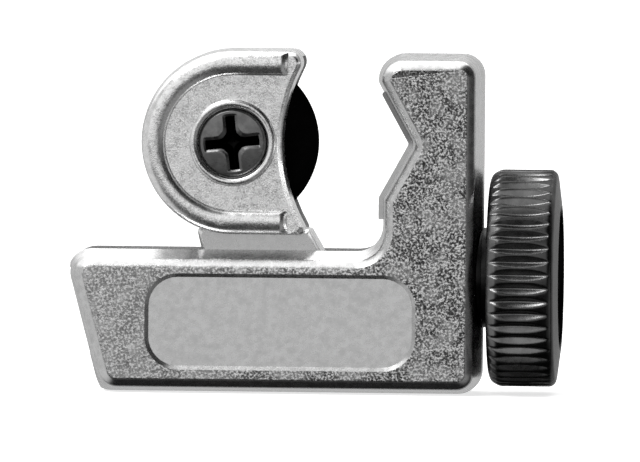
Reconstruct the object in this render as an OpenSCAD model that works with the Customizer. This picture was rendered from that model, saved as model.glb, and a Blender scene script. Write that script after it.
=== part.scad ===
// Mini tube cutter: a die-cast frame with a V seat, and a carriage that holds the cutting wheel.
// The carriage rides in a T-shaped guideway in the base, drawn along by a feed screw and its knob.
// Frame of reference: +X runs along the feed screw to the knob, +Y to the back, +Z up.
// The origin is on the underside, below the middle of the whole tool.

/* [Frame] */
// Thickness of the cast frame from front to back
frame_thick = 15; // [14.4:0.1:18]
// Length of the frame from the base's rounded nose to the arm's outer side
frame_length = 43.6; // [42:0.1:50]
// Height of the base up to the tops of its rails
base_height = 15.1; // [15:0.05:15.7]
// Height of the arm above the underside
arm_height = 36; // [35.4:0.1:40]
// Width of the arm beside the throat
arm_width = 10.7; // [10.5:0.1:14]
// Width of the arm's head above the V
head_width = 11.2; // [11:0.1:14.5]
// Depth of the V from the arm's inner side to its root
v_depth = 3.15; // [2.8:0.05:3.6]
// Angle between the two flanks of the V
v_angle = 122; // [114:1:130]
// Lean of the base's left side from upright
nose_lean = 14.8; // [8:0.1:20]
// Width of the flat band along the parting line
parting_band = 4; // [3:0.1:5]
// How far the drafted walls fall in between the band and the edge bevel
frame_draft = 0.6; // [0.4:0.05:1]
// How far the base's top and nose fall in there, which slope more
base_fall = 1.5; // [1:0.05:1.7]
// Width and depth of the softened bevel between the walls and each face
frame_edge = 1; // [0.5:0.05:1.1]

/* [Frame corners] */
// Radius of the base's upper left corner
nose_r = 3.15; // [2.4:0.05:4]
// Radius of the base's lower left corner
heel_r = 2.6; // [2.2:0.05:4]
// Radius of the frame's lower right corner
toe_r = 2.4; // [2.2:0.05:4]
// Radius of the arm's upper right corner
head_outer_r = 2.3; // [2.2:0.05:4]
// Radius of the arm's upper left corner
head_inner_r = 2.75; // [2.2:0.05:3]
// Radius of the fillet between the arm and the base
throat_r = 2.5; // [1.5:0.05:3]
// Radius of the corners where the V meets the arm's inner side
v_corner_r = 1; // [0.6:0.05:1.5]
// Radius at the root of the V
v_root_r = 0.4; // [0.2:0.05:0.8]

/* [V seat and panel] */
// Width of the raised seat that lines the V
seat_width = 7; // [5:0.1:8]
// How far the seat stands proud of the arm
seat_proud = 0.27; // [0.15:0.01:0.4]
// Length of the recessed panel on the front of the base
panel_length = 28.7; // [24:0.1:32]
// Height of the recessed panel
panel_height = 10.2; // [8:0.1:10.6]
// Depth of the recessed panel
panel_depth = 0.5; // [0.2:0.05:0.7]
// Slope of the panel's border, measured across it
panel_slope = 0.4; // [0.1:0.05:0.6]
// Corner radius of the panel
panel_r = 3.5; // [2:0.1:4.5]
// Distance from the arm's outer side to the middle of the panel
panel_back = 21.1; // [20:0.1:23]
// Height of the middle of the panel above the underside
panel_z = 7.6; // [7.4:0.05:7.7]

/* [Guideway] */
// Width of the open slot between the two rails
slot_width = 8; // [7.7:0.1:8.4]
// Width of the channel below the rails
channel_width = 9.7; // [9.4:0.1:10.4]
// Height of the rail lips that hold the carriage down
lip_height = 2; // [1.6:0.05:2.4]
// Height of the channel's floor above the underside
channel_floor = 4; // [3:0.1:5]
// Height of the pocket that the slot cuts into the arm, above the rails
pocket_rise = 3.4; // [2.8:0.05:3.6]
// Running gap between the carriage's foot and the channel, and between its neck and the slot
slide_gap = 0.15; // [0.08:0.01:0.25]

/* [Cutting wheel] */
// Diameter of the cutting wheel
wheel_d = 17.8; // [17:0.1:18.2]
// Height of the wheel's axis and of the V's root above the underside
wheel_z = 26.5; // [26.2:0.05:27]
// Gap between the wheel's edge and the root of the V as drawn
rest_opening = 9.68; // [9:0.02:10.4]
// Width of the wheel's hub
hub_width = 5; // [4.4:0.1:5.2]
// Diameter of the wheel's hub
hub_d = 8; // [7:0.1:10]
// Thickness of the blade where it leaves the hub
blade_thick = 2.2; // [1.4:0.1:3]
// Width of the ground bevel at the wheel's edge
bevel_width = 1.5; // [1:0.1:2.5]
// Thickness of the blade where the ground bevel starts
bevel_thick = 1.5; // [0.8:0.1:1.8]

/* [Wheel screw] */
// Diameter of the screw's plain shoulder that the wheel turns on
shoulder_d = 4.8; // [4.4:0.1:5]
// Diameter of the screw's head
head_d = 7.3; // [6.4:0.1:7.5]
// Height of the screw's head
head_height = 2; // [1.4:0.1:2.2]
// Diameter of the screw's threaded end
tip_d = 4; // [3:0.1:4.2]
// Span of the cross recess
cross_span = 5.6; // [4:0.1:5.8]
// Width of each arm of the cross recess
cross_width = 1.2; // [0.8:0.05:1.5]
// Depth of the cross recess at its middle
cross_depth = 1.5; // [0.8:0.1:1.8]
// Turn of the cross recess as drawn
cross_turn = 6; // [0:1:45]

/* [Carriage] */
// Radius of the round back of the two cheeks
cheek_r = 9.9; // [9.8:0.05:11]
// Distance between the outer faces of the two cheeks
cheek_thick = 10.4; // [10:0.1:11]
// Radius of the hollow front edge of the cheeks
hollow_r = 17.5; // [15:0.1:22]
// Distance from the wheel's axis to the middle of the hollow edge
hollow_reach = 5.4; // [5.1:0.05:5.8]
// Radius of the cheeks' upper front corner
cheek_nose_r = 1.4; // [1.1:0.05:1.8]
// Radius of the cheeks' lower front corner
cheek_lip_r = 0.8; // [0.75:0.05:1.2]
// How far the cheeks' sides fall in by draft
cheek_draft = 0.25; // [0.1:0.05:0.4]
// Width and depth of the bevel around the cheeks' faces
cheek_bevel = 0.45; // [0.2:0.05:0.6]
// Width of the raised bead along the round back
bead_width = 2.45; // [1.8:0.05:2.8]
// Height of the raised bead
bead_height = 0.8; // [0.4:0.05:1]
// Diameter of the raised boss around the wheel screw
boss_d = 9.2; // [8.8:0.1:9.4]
// Height of the raised boss
boss_height = 0.7; // [0.4:0.05:0.9]
// Length of the neck and the foot along the guideway
foot_length = 12.9; // [12:0.1:14]
// Distance from the wheel's axis to the foot's right end
foot_reach = 9.55; // [9.4:0.05:9.8]
// Lean of the neck's left side from upright
neck_lean = 14; // [8:0.5:18]
// Lean of the neck's right side from upright
flare_lean = 30; // [24:0.5:34]

/* [Feed screw and travel] */
// Height of the feed screw's axis above the underside
screw_z = 12.3; // [12.2:0.05:12.4]
// Diameter of the feed screw's thread
screw_d = 5; // [4.4:0.1:5.2]
// Diameter of the feed screw's plain journal
journal_d = 4.9; // [4.2:0.1:5]
// Diameter of the collar that holds the screw in the frame
collar_d = 7.4; // [7:0.1:7.5]
// Thickness of the collar
collar_thick = 1.5; // [1:0.1:2]
// How far the carriage closes from the place drawn
close_travel = 7.5; // [6:0.1:7.6]
// How far the carriage opens from the place drawn
open_travel = 7.7; // [6:0.1:8.2]
// Diameter of the stop pin through the screw's end
pin_d = 1.5; // [1:0.1:1.8]
// Length of the stop pin
pin_length = 6; // [5.7:0.1:6.1]
// Length of the screw's end past the stop pin's axis
tail_length = 1.15; // [1:0.05:2]

/* [Knob] */
// Diameter of the knob over its ribs
knob_d = 23; // [20:0.1:23.6]
// Length of the knob from its hub to its rim
knob_length = 7.76; // [7:0.02:9]
// Number of grooves around the knob
groove_count = 50; // [36:1:60]
// Depth of each groove at its middle
groove_depth = 0.5; // [0.2:0.05:0.6]
// Width of each groove at its middle
groove_width = 0.95; // [0.5:0.05:1]
// Length of each groove along the knob
groove_length = 5.6; // [4.5:0.1:6]
// Radius of the knob's inner corner
knob_corner_r = 1.4; // [0.8:0.1:1.8]
// Diameter of the dish in the knob's end
dish_d = 15.4; // [13:0.1:17]
// Depth of the dish in the knob's end
dish_depth = 2.4; // [1.5:0.1:3]
// Diameter of the knob's bore, pressed on the screw
knob_bore_d = 4; // [3:0.1:4.2]
// Outer diameter of the thrust washer
washer_d = 10.6; // [9:0.1:10.8]
// Thickness of the thrust washer
washer_thick = 0.5; // [0.3:0.05:0.8]

/* [Hidden] */
$fn = 96;

// Overrun of every cut past the face that it opens
over = 1;
// Smallest radius that a rounded corner is drawn with
least_r = 0.3;
// Turn covered by each segment of a rounded corner
corner_step = 11.25;
// Segments in the long arcs
back_steps = 36;
hollow_steps = 12;
groove_steps = 6;
// Running clearance around a shaft, on the radius
shaft_gap = 0.05;
// Clearance between faces that turn against each other
face_gap = 0.03;
// Clearance around the wheel in the carriage
wheel_gap = 0.25;
side_gap = 0.1;
// Depth that joined features of one casting run into each other
sink = 0.6;
// How far the guideway's floor and lips stand out of its side walls at the open end
end_step = 0.05;

// How far the base's top and nose have fallen in at a distance from the parting plane
function fall_at(y) =
    base_fall * (y - parting_band / 2) / (frame_thick / 2 - frame_edge - parting_band / 2);

// The base's outline is drawn high enough for the rails' inner edges to reach the base's height.
// The guideway's open end is trimmed back, so the outline is drawn longer by nose_loss.
crown_z = base_height + fall_at(slot_width / 2);
channel_top = base_height - lip_height;
nose_loss = fall_at(channel_width / 2) - end_step;

// Places along X, worked out from the arm's outer side
knob_reach = face_gap + washer_thick + face_gap + knob_length;
arm_x = (frame_length - knob_reach) / 2;
inner_x = arm_x - arm_width;
head_x = arm_x - head_width;
root_x = inner_x + v_depth;
nose_x = arm_x - frame_length - nose_loss;
wheel_x = root_x - seat_proud - rest_opening - wheel_d / 2;
foot_x1 = wheel_x + foot_reach;
foot_x0 = foot_x1 - foot_length;
channel_x = foot_x1 + close_travel + slide_gap * 2;
collar_x0 = channel_x + face_gap;
collar_x1 = collar_x0 + collar_thick;
washer_x0 = arm_x + face_gap;
washer_x1 = washer_x0 + washer_thick;
knob_x0 = washer_x1 + face_gap;
knob_x1 = knob_x0 + knob_length;
pin_x = foot_x0 - open_travel - slide_gap - pin_d / 2;
screw_x0 = pin_x - tail_length;

// Heights
foot_z0 = channel_floor + slide_gap;
foot_z1 = channel_top - slide_gap;
pocket_z = base_height + pocket_rise;
cheek_bottom = wheel_z - cheek_r;

// The V's outline. A low arm leaves its upper flank shorter.
flank_lean = 90 - v_angle / 2;
v_top_z = min(
    wheel_z + (root_x - head_x) / tan(flank_lean),
    arm_height - head_inner_r - v_corner_r * tan(flank_lean / 2)
);
head_edge_x = root_x - (v_top_z - wheel_z) * tan(flank_lean);
v_foot_z = wheel_z - (root_x - inner_x) / tan(flank_lean);

// The nose's sharp corner, from which its rounding is drawn back to the stated length
nose_corner_x = nose_x - nose_r * (tan(nose_lean) + 1 / cos(nose_lean) - 1);
heel_x = nose_corner_x + crown_z * tan(nose_lean);

function unit(v) = v / norm(v);

function left_of(v) = [-v.y, v.x];

function flat(corner) = [corner.x, corner.y];

// Points along an arc from one angle to another
function arc(centre, r, from, to, steps) = [
    for (i = [0:steps])
        let (a = from + (to - from) * i / steps)
        centre + r * [cos(a), sin(a)]
];

function steps_for(turn) = max(2, ceil(abs(turn) / corner_step));

// The rounding of one corner, given as x, z and radius, of an outline drawn anticlockwise.
// The outline is first moved inward by inset: outer corners lose that from their radius, inner ones gain it.
function rounded_corner(before, corner, after, inset) =
    let (
        d0 = unit(flat(corner) - flat(before)),
        d1 = unit(flat(after) - flat(corner)),
        n0 = left_of(d0),
        toward = (n0 + left_of(d1)) / (1 + n0 * left_of(d1)),
        turn = atan2(cross(d0, d1), d0 * d1),
        side = turn > 0 ? 1 : -1,
        r = max(corner.z - side * inset, least_r),
        centre = flat(corner) + (inset + side * r) * toward,
        start = atan2(-side * n0.y, -side * n0.x)
    )
    arc(centre, r, start, start + turn, steps_for(turn));

function outline(corners, inset) =
    let (count = len(corners))
    [
        for (i = [0:count - 1])
            each rounded_corner(
                corners[(i + count - 1) % count],
                corners[i],
                corners[(i + 1) % count],
                inset
            )
    ];

// Inset and depth of the steps across the frame's softened bevel, from the face to the wall
bevel_shares = [[1, 0], [0.7, 0.17], [0.17, 0.7], [0, 1]];

// Depth and inset of each layer from the frame's front face back to its parting band
frame_layers = concat(
    [for (s = bevel_shares) [frame_edge * s.y - frame_thick / 2, frame_draft + frame_edge * s.x]],
    [[-parting_band / 2, 0]]
);

// The same layers, and their mirror images behind the parting plane
function both_faces(front) = concat(
    front,
    [for (i = [len(front) - 1:-1:0]) [-front[i].x, front[i].y]]
);

// Whether a flat outline's corner can be cut off as a triangle that holds no other corner
function is_ear(ring, ids, k) =
    let (
        count = len(ids),
        a = ring[ids[(k + count - 1) % count]],
        b = ring[ids[k]],
        c = ring[ids[(k + 1) % count]]
    )
    cross(b - a, c - b) > 0 && len([
        for (i = [2:count - 2])
            let (p = ring[ids[(k + i) % count]])
            if (cross(b - a, p - a) >= 0 && cross(c - b, p - b) >= 0 && cross(a - c, p - c) >= 0) i
    ]) == 0;

// The first such corner from corner k on, in at most the given number of tries
function next_ear(ring, ids, k, tries) =
    tries == 0 || is_ear(ring, ids, k) ? k : next_ear(ring, ids, (k + 1) % len(ids), tries - 1);

// An anticlockwise outline as triangles, cut off in turn from corner k on
function triangles(ring, ids, k) =
    len(ids) == 3 ? [ids] :
    let (
        count = len(ids),
        ear = next_ear(ring, ids, k, count),
        rest = [for (i = [0:count - 1]) if (i != ear) ids[i]]
    )
    concat(
        [[ids[(ear + count - 1) % count], ids[ear], ids[(ear + 1) % count]]],
        triangles(ring, rest, (ear + 1) % (count - 1))
    );

function steps_to(count) = [for (i = [0:count - 1]) i];

// A closed skin over rings of points, each ring with the same count of points.
// Seen from the first ring's outer side, the points of each ring run anticlockwise.
// The cap lists the faces that close a ring, as places in the ring.
module skin(points, count, cap) {
    last = len(points) / count - 1;
    walls = [
        for (k = [0:last - 1])
            for (i = [0:count - 1])
                let (a = k * count + i, b = k * count + (i + 1) % count)
                each [[a, b, b + count], [a, b + count, a + count]]
    ];
    front = [for (f = cap) [for (i = [len(f) - 1:-1:0]) f[i]]];
    back = [for (f = cap) [for (i = f) last * count + i]];
    polyhedron(points, concat(front, walls, back));
}

// A closed solid through a stack of outlines in X and Z, each at its own depth in Y
module stack(depths, rings) {
    count = len(rings[0]);
    skin(
        [for (k = [0:len(rings) - 1]) for (p = rings[k]) [p.x, depths[k], p.y]],
        count,
        triangles(rings[0], steps_to(count), 0)
    );
}

// A box given by its lowest and highest corners
module block(low, high) {
    translate(low)
        cube(high - low);
}

// A cylinder along X from one place to another, on the feed screw's axis
module along_screw(r, from, to) {
    translate([from, 0, screw_z])
        rotate([0, 90, 0])
            cylinder(r = r, h = to - from);
}

// Turns a profile of x and radius about the feed screw's axis
module turned_on_screw(profile) {
    translate([0, 0, screw_z])
        rotate([0, 90, 0])
            rotate_extrude()
                polygon([for (p = profile) [p.y, p.x]]);
}

// Turns a profile of depth and radius about the wheel's axis, with depth running to the back
module turned_on_wheel(profile) {
    translate([wheel_x, 0, wheel_z])
        rotate([-90, 0, 0])
            rotate_extrude()
                polygon([for (p = profile) [p.y, p.x]]);
}

// The frame's outline, anticlockwise from its lower left corner, for a layer with the given inset.
// The base's top and nose move in by more than the other walls.
function frame_corners(inset) =
    let (more = (base_fall - frame_draft) * min(inset / frame_draft, 1))
    [
        [heel_x + more / cos(nose_lean), 0, heel_r],
        [arm_x, 0, toe_r],
        [arm_x, arm_height, head_outer_r],
        [head_edge_x, arm_height, head_inner_r],
        [head_edge_x, v_top_z, v_corner_r],
        [root_x, wheel_z, v_root_r],
        [inner_x, v_foot_z, v_corner_r],
        [inner_x, crown_z - more, throat_r],
        [nose_corner_x + more * (tan(nose_lean) + 1 / cos(nose_lean)), crown_z - more, nose_r - more]
    ];

panel_x = arm_x - panel_back;
panel_corners = [
    [panel_x - panel_length / 2, panel_z - panel_height / 2, panel_r],
    [panel_x + panel_length / 2, panel_z - panel_height / 2, panel_r],
    [panel_x + panel_length / 2, panel_z + panel_height / 2, panel_r],
    [panel_x - panel_length / 2, panel_z + panel_height / 2, panel_r]
];

// The raised seat follows the V and runs down the arm to the pocket
seat_end_share = 0.85;
seat_end_z = wheel_z + (v_top_z - wheel_z) * seat_end_share;
seat_end_x = root_x - (seat_end_z - wheel_z) * tan(flank_lean);
seat_bury = 1.2;
seat_corners = [
    [seat_end_x - seat_proud, seat_end_z, seat_proud / 2],
    [root_x - seat_proud, wheel_z, v_root_r],
    [inner_x - seat_proud, v_foot_z, v_corner_r],
    [inner_x - seat_proud, pocket_z - sink, seat_proud / 2],
    [inner_x + seat_bury, pocket_z - sink, seat_proud / 2],
    [inner_x + seat_bury, v_foot_z, v_corner_r],
    [root_x + seat_bury, wheel_z, v_root_r],
    [seat_end_x + seat_bury, seat_end_z, seat_proud / 2]
];

module v_seat() {
    translate([0, seat_width / 2, 0])
        rotate([90, 0, 0])
            linear_extrude(seat_width)
                polygon(outline(seat_corners, 0));
}

// Flat boss that the thrust washer runs against
boss_face_d = washer_d + side_gap * 4;

// The frame without its hollows, falling in from the parting plane to each face
module frame_blank() {
    layers = both_faces(frame_layers);
    stack([for (l = layers) l.x], [for (l = layers) outline(frame_corners(l.y), l.y)]);
}

// The guideway's open end, cut straight down the nose in line with its side walls
module end_trim() {
    bend_z = crown_z - nose_r - (nose_r - nose_loss) * (1 / cos(nose_lean) - 1) / tan(nose_lean);
    trim_x = nose_x + nose_loss;
    foot_x = trim_x + (bend_z + over) * tan(nose_lean);
    translate([0, channel_width / 2, 0])
        rotate([90, 0, 0])
            linear_extrude(channel_width)
                polygon([
                    [trim_x, bend_z],
                    [trim_x, crown_z + over],
                    [nose_x - nose_r, crown_z + over],
                    [nose_x - nose_r, -over],
                    [foot_x, -over]
                ]);
}

module frame() {
    color([0.72, 0.72, 0.73])
        difference() {
            union() {
                frame_blank();
                v_seat();
                along_screw(boss_face_d / 2, arm_x - frame_draft - sink, arm_x);
            }
            block(
                [nose_corner_x - over, -channel_width / 2, channel_floor],
                [channel_x, channel_width / 2, channel_top]
            );
            block(
                [nose_corner_x - over, -slot_width / 2, channel_top - sink],
                [channel_x, slot_width / 2, pocket_z]
            );
            along_screw(slot_width / 2, channel_x - over, collar_x1 + face_gap);
            along_screw(journal_d / 2 + shaft_gap, channel_x, arm_x + over);
            end_trim();
            panel_recess();
        }
}

module panel_recess() {
    face = -frame_thick / 2;
    stack(
        [face - over, face + panel_depth],
        [
            outline(panel_corners, -panel_slope * over / panel_depth),
            outline(panel_corners, panel_slope)
        ]
    );
}

// The cheeks' outline about the wheel's axis: a round back, two straight runs and a hollow front edge
hollow_x = hollow_reach + hollow_r;

function cheek_ring(inset) =
    let (
        r = cheek_r - inset,
        hollow = hollow_r + inset,
        nose = max(cheek_nose_r - inset, least_r),
        lip = max(cheek_lip_r - inset, least_r),
        nose_c = [hollow_x - sqrt(pow(hollow + nose, 2) - pow(r - nose, 2)), r - nose],
        lip_c = [hollow_x - sqrt(pow(hollow + lip, 2) - pow(r - lip, 2)), lip - r],
        nose_a = atan2(-nose_c.y, hollow_x - nose_c.x),
        lip_a = atan2(-lip_c.y, hollow_x - lip_c.x),
        hollow_points = arc([hollow_x, 0], hollow, 180 + lip_a, 180 + nose_a, hollow_steps)
    )
    concat(
        arc([0, 0], r, 90, 270, back_steps),
        arc(lip_c, lip, -90, lip_a, steps_for(90)),
        [for (i = [1:hollow_steps - 1]) hollow_points[i]],
        arc(nose_c, nose, nose_a, 90, steps_for(90))
    );

module cheeks() {
    half = cheek_thick / 2;
    layers = both_faces([
        [-half, cheek_draft + cheek_bevel],
        [-(half - cheek_bevel), cheek_draft],
        [-parting_band / 2, 0]
    ]);
    stack(
        [for (l = layers) l.x],
        [for (l = layers) [for (p = cheek_ring(l.y)) p + [wheel_x, wheel_z]]]
    );
}

// The bead runs from the cheek's nose round the back and out again, and dies away at both ends
bead_bury = 0.06;
bead_in = cheek_draft + bead_bury;
bead_end = hollow_reach + cheek_bevel;
bead_taper_shares = [0, 0.55, 0.85, 1];
bead_taper = bead_width / 3;
bead_arc_steps = 24;
bead_profile_steps = 8;

bead_stations = concat(
    [
        for (i = [0:len(bead_taper_shares) - 1])
            [bead_end - bead_taper * i / (len(bead_taper_shares) - 1), 90, bead_taper_shares[i]]
    ],
    [for (i = [0:bead_arc_steps]) [0, 90 + 180 * i / bead_arc_steps, 1]],
    [
        for (i = [len(bead_taper_shares) - 1:-1:0])
            [bead_end - bead_taper * i / (len(bead_taper_shares) - 1), 270, bead_taper_shares[i]]
    ]
);

// The bead's section as inset from the cheek's edge and height above the cheek's face
function bead_section(height) = concat(
    [[bead_in, -sink * 1.2]],
    [
        for (i = [0:bead_profile_steps])
            let (t = 180 * i / bead_profile_steps)
            [bead_in + bead_width * (1 - cos(t)) / 2, height * sin(t) - bead_bury / 2]
    ],
    [[bead_in + bead_width, -sink * 1.2]]
);

module bead() {
    points = [
        for (s = bead_stations)
            for (p = bead_section(bead_height * s.z))
                [
                    wheel_x + s.x + (cheek_r - p.x) * cos(s.y),
                    -cheek_thick / 2 - p.y,
                    wheel_z + (cheek_r - p.x) * sin(s.y)
                ]
    ];
    count = len(bead_section(bead_height));
    skin(points, count, [steps_to(count)]);
}

// The neck, from the foot up into the cheeks
flare_z = base_height - slide_gap;
flare_top = cheek_bottom + cheek_lip_r;
neck_corners = [
    [foot_x0, foot_z1 - sink, least_r],
    [foot_x1, foot_z1 - sink, least_r],
    [foot_x1, flare_z, cheek_bevel],
    [foot_x1 - (flare_top - flare_z) * tan(flare_lean), flare_top, cheek_bevel],
    [foot_x0 - (flare_top - flare_z) * tan(neck_lean), flare_top, cheek_bevel],
    [foot_x0, flare_z, cheek_bevel]
];

module neck() {
    half = slot_width / 2 - slide_gap;
    layers = both_faces([
        [-half, cheek_bevel],
        [-(half - cheek_bevel), cheek_draft / 2],
        [-parting_band / 2, 0]
    ]);
    stack([for (l = layers) l.x], [for (l = layers) outline(neck_corners, l.y)]);
}

// The foot that fills the channel, a bar with its long edges bevelled
module foot() {
    half = channel_width / 2 - slide_gap;
    edge = cheek_bevel;
    translate([foot_x0, 0, 0])
        rotate([90, 0, 90])
            linear_extrude(foot_length)
                polygon([
                    [-half + edge, foot_z0],
                    [half - edge, foot_z0],
                    [half, foot_z0 + edge],
                    [half, foot_z1 - edge],
                    [half - edge, foot_z1],
                    [-half + edge, foot_z1],
                    [-half, foot_z1 - edge],
                    [-half, foot_z0 + edge]
                ]);
}

// Faces of the carriage along the wheel's axis
cheek_face = cheek_thick / 2;
boss_face = cheek_face + boss_height;
wheel_slot = hub_width / 2 + side_gap;
head_seat = boss_face - head_height;
head_hole_r = head_d / 2 + side_gap;
boss_ring_r = (boss_d / 2 - head_hole_r) / 2;
boss_steps = 8;

// The raised ring around the screw's head, round across its top
module boss() {
    turned_on_wheel(concat(
        [[-cheek_face + sink, 0], [-cheek_face + sink, boss_d / 2]],
        arc([boss_ring_r - boss_face, boss_d / 2 - boss_ring_r], boss_ring_r, 90, 270, boss_steps),
        [[boss_ring_r - boss_face, 0]]
    ));
}

module carriage() {
    color([0.74, 0.74, 0.75])
        difference() {
            union() {
                cheeks();
                bead();
                mirror([0, 1, 0])
                    bead();
                neck();
                foot();
                boss();
                mirror([0, 1, 0])
                    boss();
            }
            wheel_space();
            along_screw(screw_d / 2 + shaft_gap, foot_x0 - over, foot_x1 + over);
            turned_on_wheel([
                [-boss_face - over, 0],
                [-boss_face - over, head_hole_r],
                [-head_seat, head_hole_r],
                [-head_seat, shoulder_d / 2 + shaft_gap],
                [0, shoulder_d / 2 + shaft_gap],
                [0, tip_d / 2],
                [boss_face + over, tip_d / 2],
                [boss_face + over, 0]
            ]);
        }
}

// The space for the wheel: round at the back and straight out to the front, so that the wheel slides in
module wheel_space() {
    space_r = wheel_d / 2 + wheel_gap;
    translate([wheel_x, wheel_slot, wheel_z])
        rotate([90, 0, 0])
            linear_extrude(wheel_slot * 2)
                union() {
                    circle(r = space_r);
                    translate([0, -space_r])
                        square([hollow_x, space_r * 2]);
                }
}

module cutter_wheel() {
    edge = bevel_thick / 20;
    color([0.06, 0.06, 0.065])
        turned_on_wheel([
            [-hub_width / 2, shoulder_d / 2 + shaft_gap],
            [-hub_width / 2, hub_d / 2],
            [-blade_thick / 2, hub_d / 2],
            [-bevel_thick / 2, wheel_d / 2 - bevel_width],
            [-edge / 2, wheel_d / 2],
            [edge / 2, wheel_d / 2],
            [bevel_thick / 2, wheel_d / 2 - bevel_width],
            [blade_thick / 2, hub_d / 2],
            [hub_width / 2, hub_d / 2],
            [hub_width / 2, shoulder_d / 2 + shaft_gap]
        ]);
}

// One arm of the cross recess, narrowing toward its floor
module cross_arm() {
    floor_share = 0.45;
    hull() {
        translate([-cross_span / 2, -cross_width / 2, 0])
            cube([cross_span, cross_width, over]);
        translate([-cross_span * floor_share / 2, -cross_width * floor_share, -cross_depth])
            cube([cross_span * floor_share, cross_width * floor_share * 2, over]);
    }
}

module wheel_screw() {
    head_edge = head_height / 5;
    tip_edge = tip_d / 10;
    color([0.08, 0.08, 0.085])
        difference() {
            turned_on_wheel([
                [-boss_face, 0],
                [-boss_face + head_edge / 6, head_d / 4],
                [-boss_face + head_edge / 3, head_d / 2 - head_edge],
                [-boss_face + head_edge, head_d / 2],
                [-head_seat, head_d / 2],
                [-head_seat, shoulder_d / 2],
                [wheel_slot, shoulder_d / 2],
                [wheel_slot, tip_d / 2],
                [boss_face - tip_edge, tip_d / 2],
                [boss_face, tip_d / 2 - tip_edge],
                [boss_face, 0]
            ]);
            translate([wheel_x, -boss_face, wheel_z])
                rotate([90, 0, 0])
                    rotate([0, 0, cross_turn])
                        for (a = [0, 90])
                            rotate([0, 0, a])
                                cross_arm();
        }
}

module feed_screw() {
    thread_edge = screw_d / 10;
    rivet_r = knob_bore_d / 2 * 1.35;
    rivet_z = knob_x1 - dish_depth / 2;
    rivet_height = knob_bore_d / 8;
    color([0.6, 0.6, 0.62])
        difference() {
            turned_on_screw([
                [screw_x0, 0],
                [screw_x0, screw_d / 2 - thread_edge],
                [screw_x0 + thread_edge, screw_d / 2],
                [collar_x0, screw_d / 2],
                [collar_x0, collar_d / 2],
                [collar_x1, collar_d / 2],
                [collar_x1, journal_d / 2],
                [knob_x0, journal_d / 2],
                [knob_x0, knob_bore_d / 2],
                [rivet_z, knob_bore_d / 2],
                [rivet_z, rivet_r],
                [rivet_z + rivet_height, rivet_r * 0.8],
                [rivet_z + rivet_height * 1.5, 0]
            ]);
            translate([pin_x, screw_d, screw_z])
                rotate([90, 0, 0])
                    cylinder(d = pin_d, h = screw_d * 2);
        }
}

module stop_pin() {
    edge = pin_d / 8;
    color([0.55, 0.55, 0.57])
        translate([pin_x, 0, screw_z])
            rotate([90, 0, 0])
                rotate_extrude()
                    polygon([
                        [0, -pin_length / 2],
                        [pin_d / 2 - edge, -pin_length / 2],
                        [pin_d / 2, -pin_length / 2 + edge],
                        [pin_d / 2, pin_length / 2 - edge],
                        [pin_d / 2 - edge, pin_length / 2],
                        [0, pin_length / 2]
                    ]);
}

module thrust_washer() {
    bore_r = journal_d / 2 + shaft_gap * 2;
    color([0.35, 0.35, 0.36])
        turned_on_screw([
            [washer_x0, bore_r],
            [washer_x0, washer_d / 2],
            [washer_x1, washer_d / 2],
            [washer_x1, bore_r]
        ]);
}

// The knob's profile from its bore out over the ribs and into the dish
module knob_blank() {
    r = knob_d / 2;
    hub_r = washer_d / 2;
    hub_step = washer_thick / 3;
    face_x = knob_x0 + hub_step;
    band_x = knob_x1 - dish_depth * 0.45;
    band_drop = groove_depth * 0.5;
    cone_x = knob_x1 - washer_thick;
    cone_r = r - groove_depth;
    dish_r = dish_d / 2;
    dish_x = knob_x1 - dish_depth;
    dish_corner = groove_depth;
    core_r = knob_bore_d * 0.85;
    core_x = knob_x1 - dish_depth / 2;
    turned_on_screw(concat(
        [
            [knob_x0, knob_bore_d / 2],
            [knob_x0, hub_r],
            [face_x, hub_r + hub_step]
        ],
        arc([face_x + knob_corner_r, r - knob_corner_r], knob_corner_r, 180, 90, steps_for(90)),
        [
            [band_x - dish_depth * 0.45, r],
            [band_x, r - band_drop],
            [cone_x, cone_r],
            [knob_x1, dish_r],
            [knob_x1 - dish_corner / 2, dish_r - dish_corner],
            [dish_x + dish_corner, dish_r - dish_corner * 1.5],
            [dish_x, dish_r - dish_corner * 2.5],
            [dish_x, core_r],
            [core_x, core_r - dish_corner / 2],
            [core_x, knob_bore_d / 2]
        ]
    ));
}

// One groove is a V whose floor is bowed along the knob, so that it runs out at both ends
module groove_cutter() {
    slope = groove_width / 2 / groove_depth;
    top = knob_d / 2 + groove_depth / 4;
    points = [
        for (i = [0:groove_steps])
            let (
                x = groove_length * (i / groove_steps - 1 / 2),
                bow = 1 - pow(2 * i / groove_steps - 1, 2),
                floor_z = knob_d / 2 - groove_depth * bow,
                half = slope * (top - floor_z)
            )
            each [[x, 0, floor_z], [x, -half, top], [x, half, top]]
    ];
    skin(points, 3, [steps_to(3)]);
}

module knob() {
    groove_x = knob_x0 + groove_length / 2 + knob_corner_r / 2;
    color([0.09, 0.09, 0.095])
        difference() {
            knob_blank();
            for (i = [0:groove_count - 1])
                translate([groove_x, 0, screw_z])
                    rotate([360 * i / groove_count, 0, 0])
                        groove_cutter();
        }
}

frame();
carriage();
cutter_wheel();
wheel_screw();
feed_screw();
stop_pin();
thrust_washer();
knob();
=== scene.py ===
import math

import bmesh
import bpy
import numpy as np
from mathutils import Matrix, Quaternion, Vector


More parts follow.
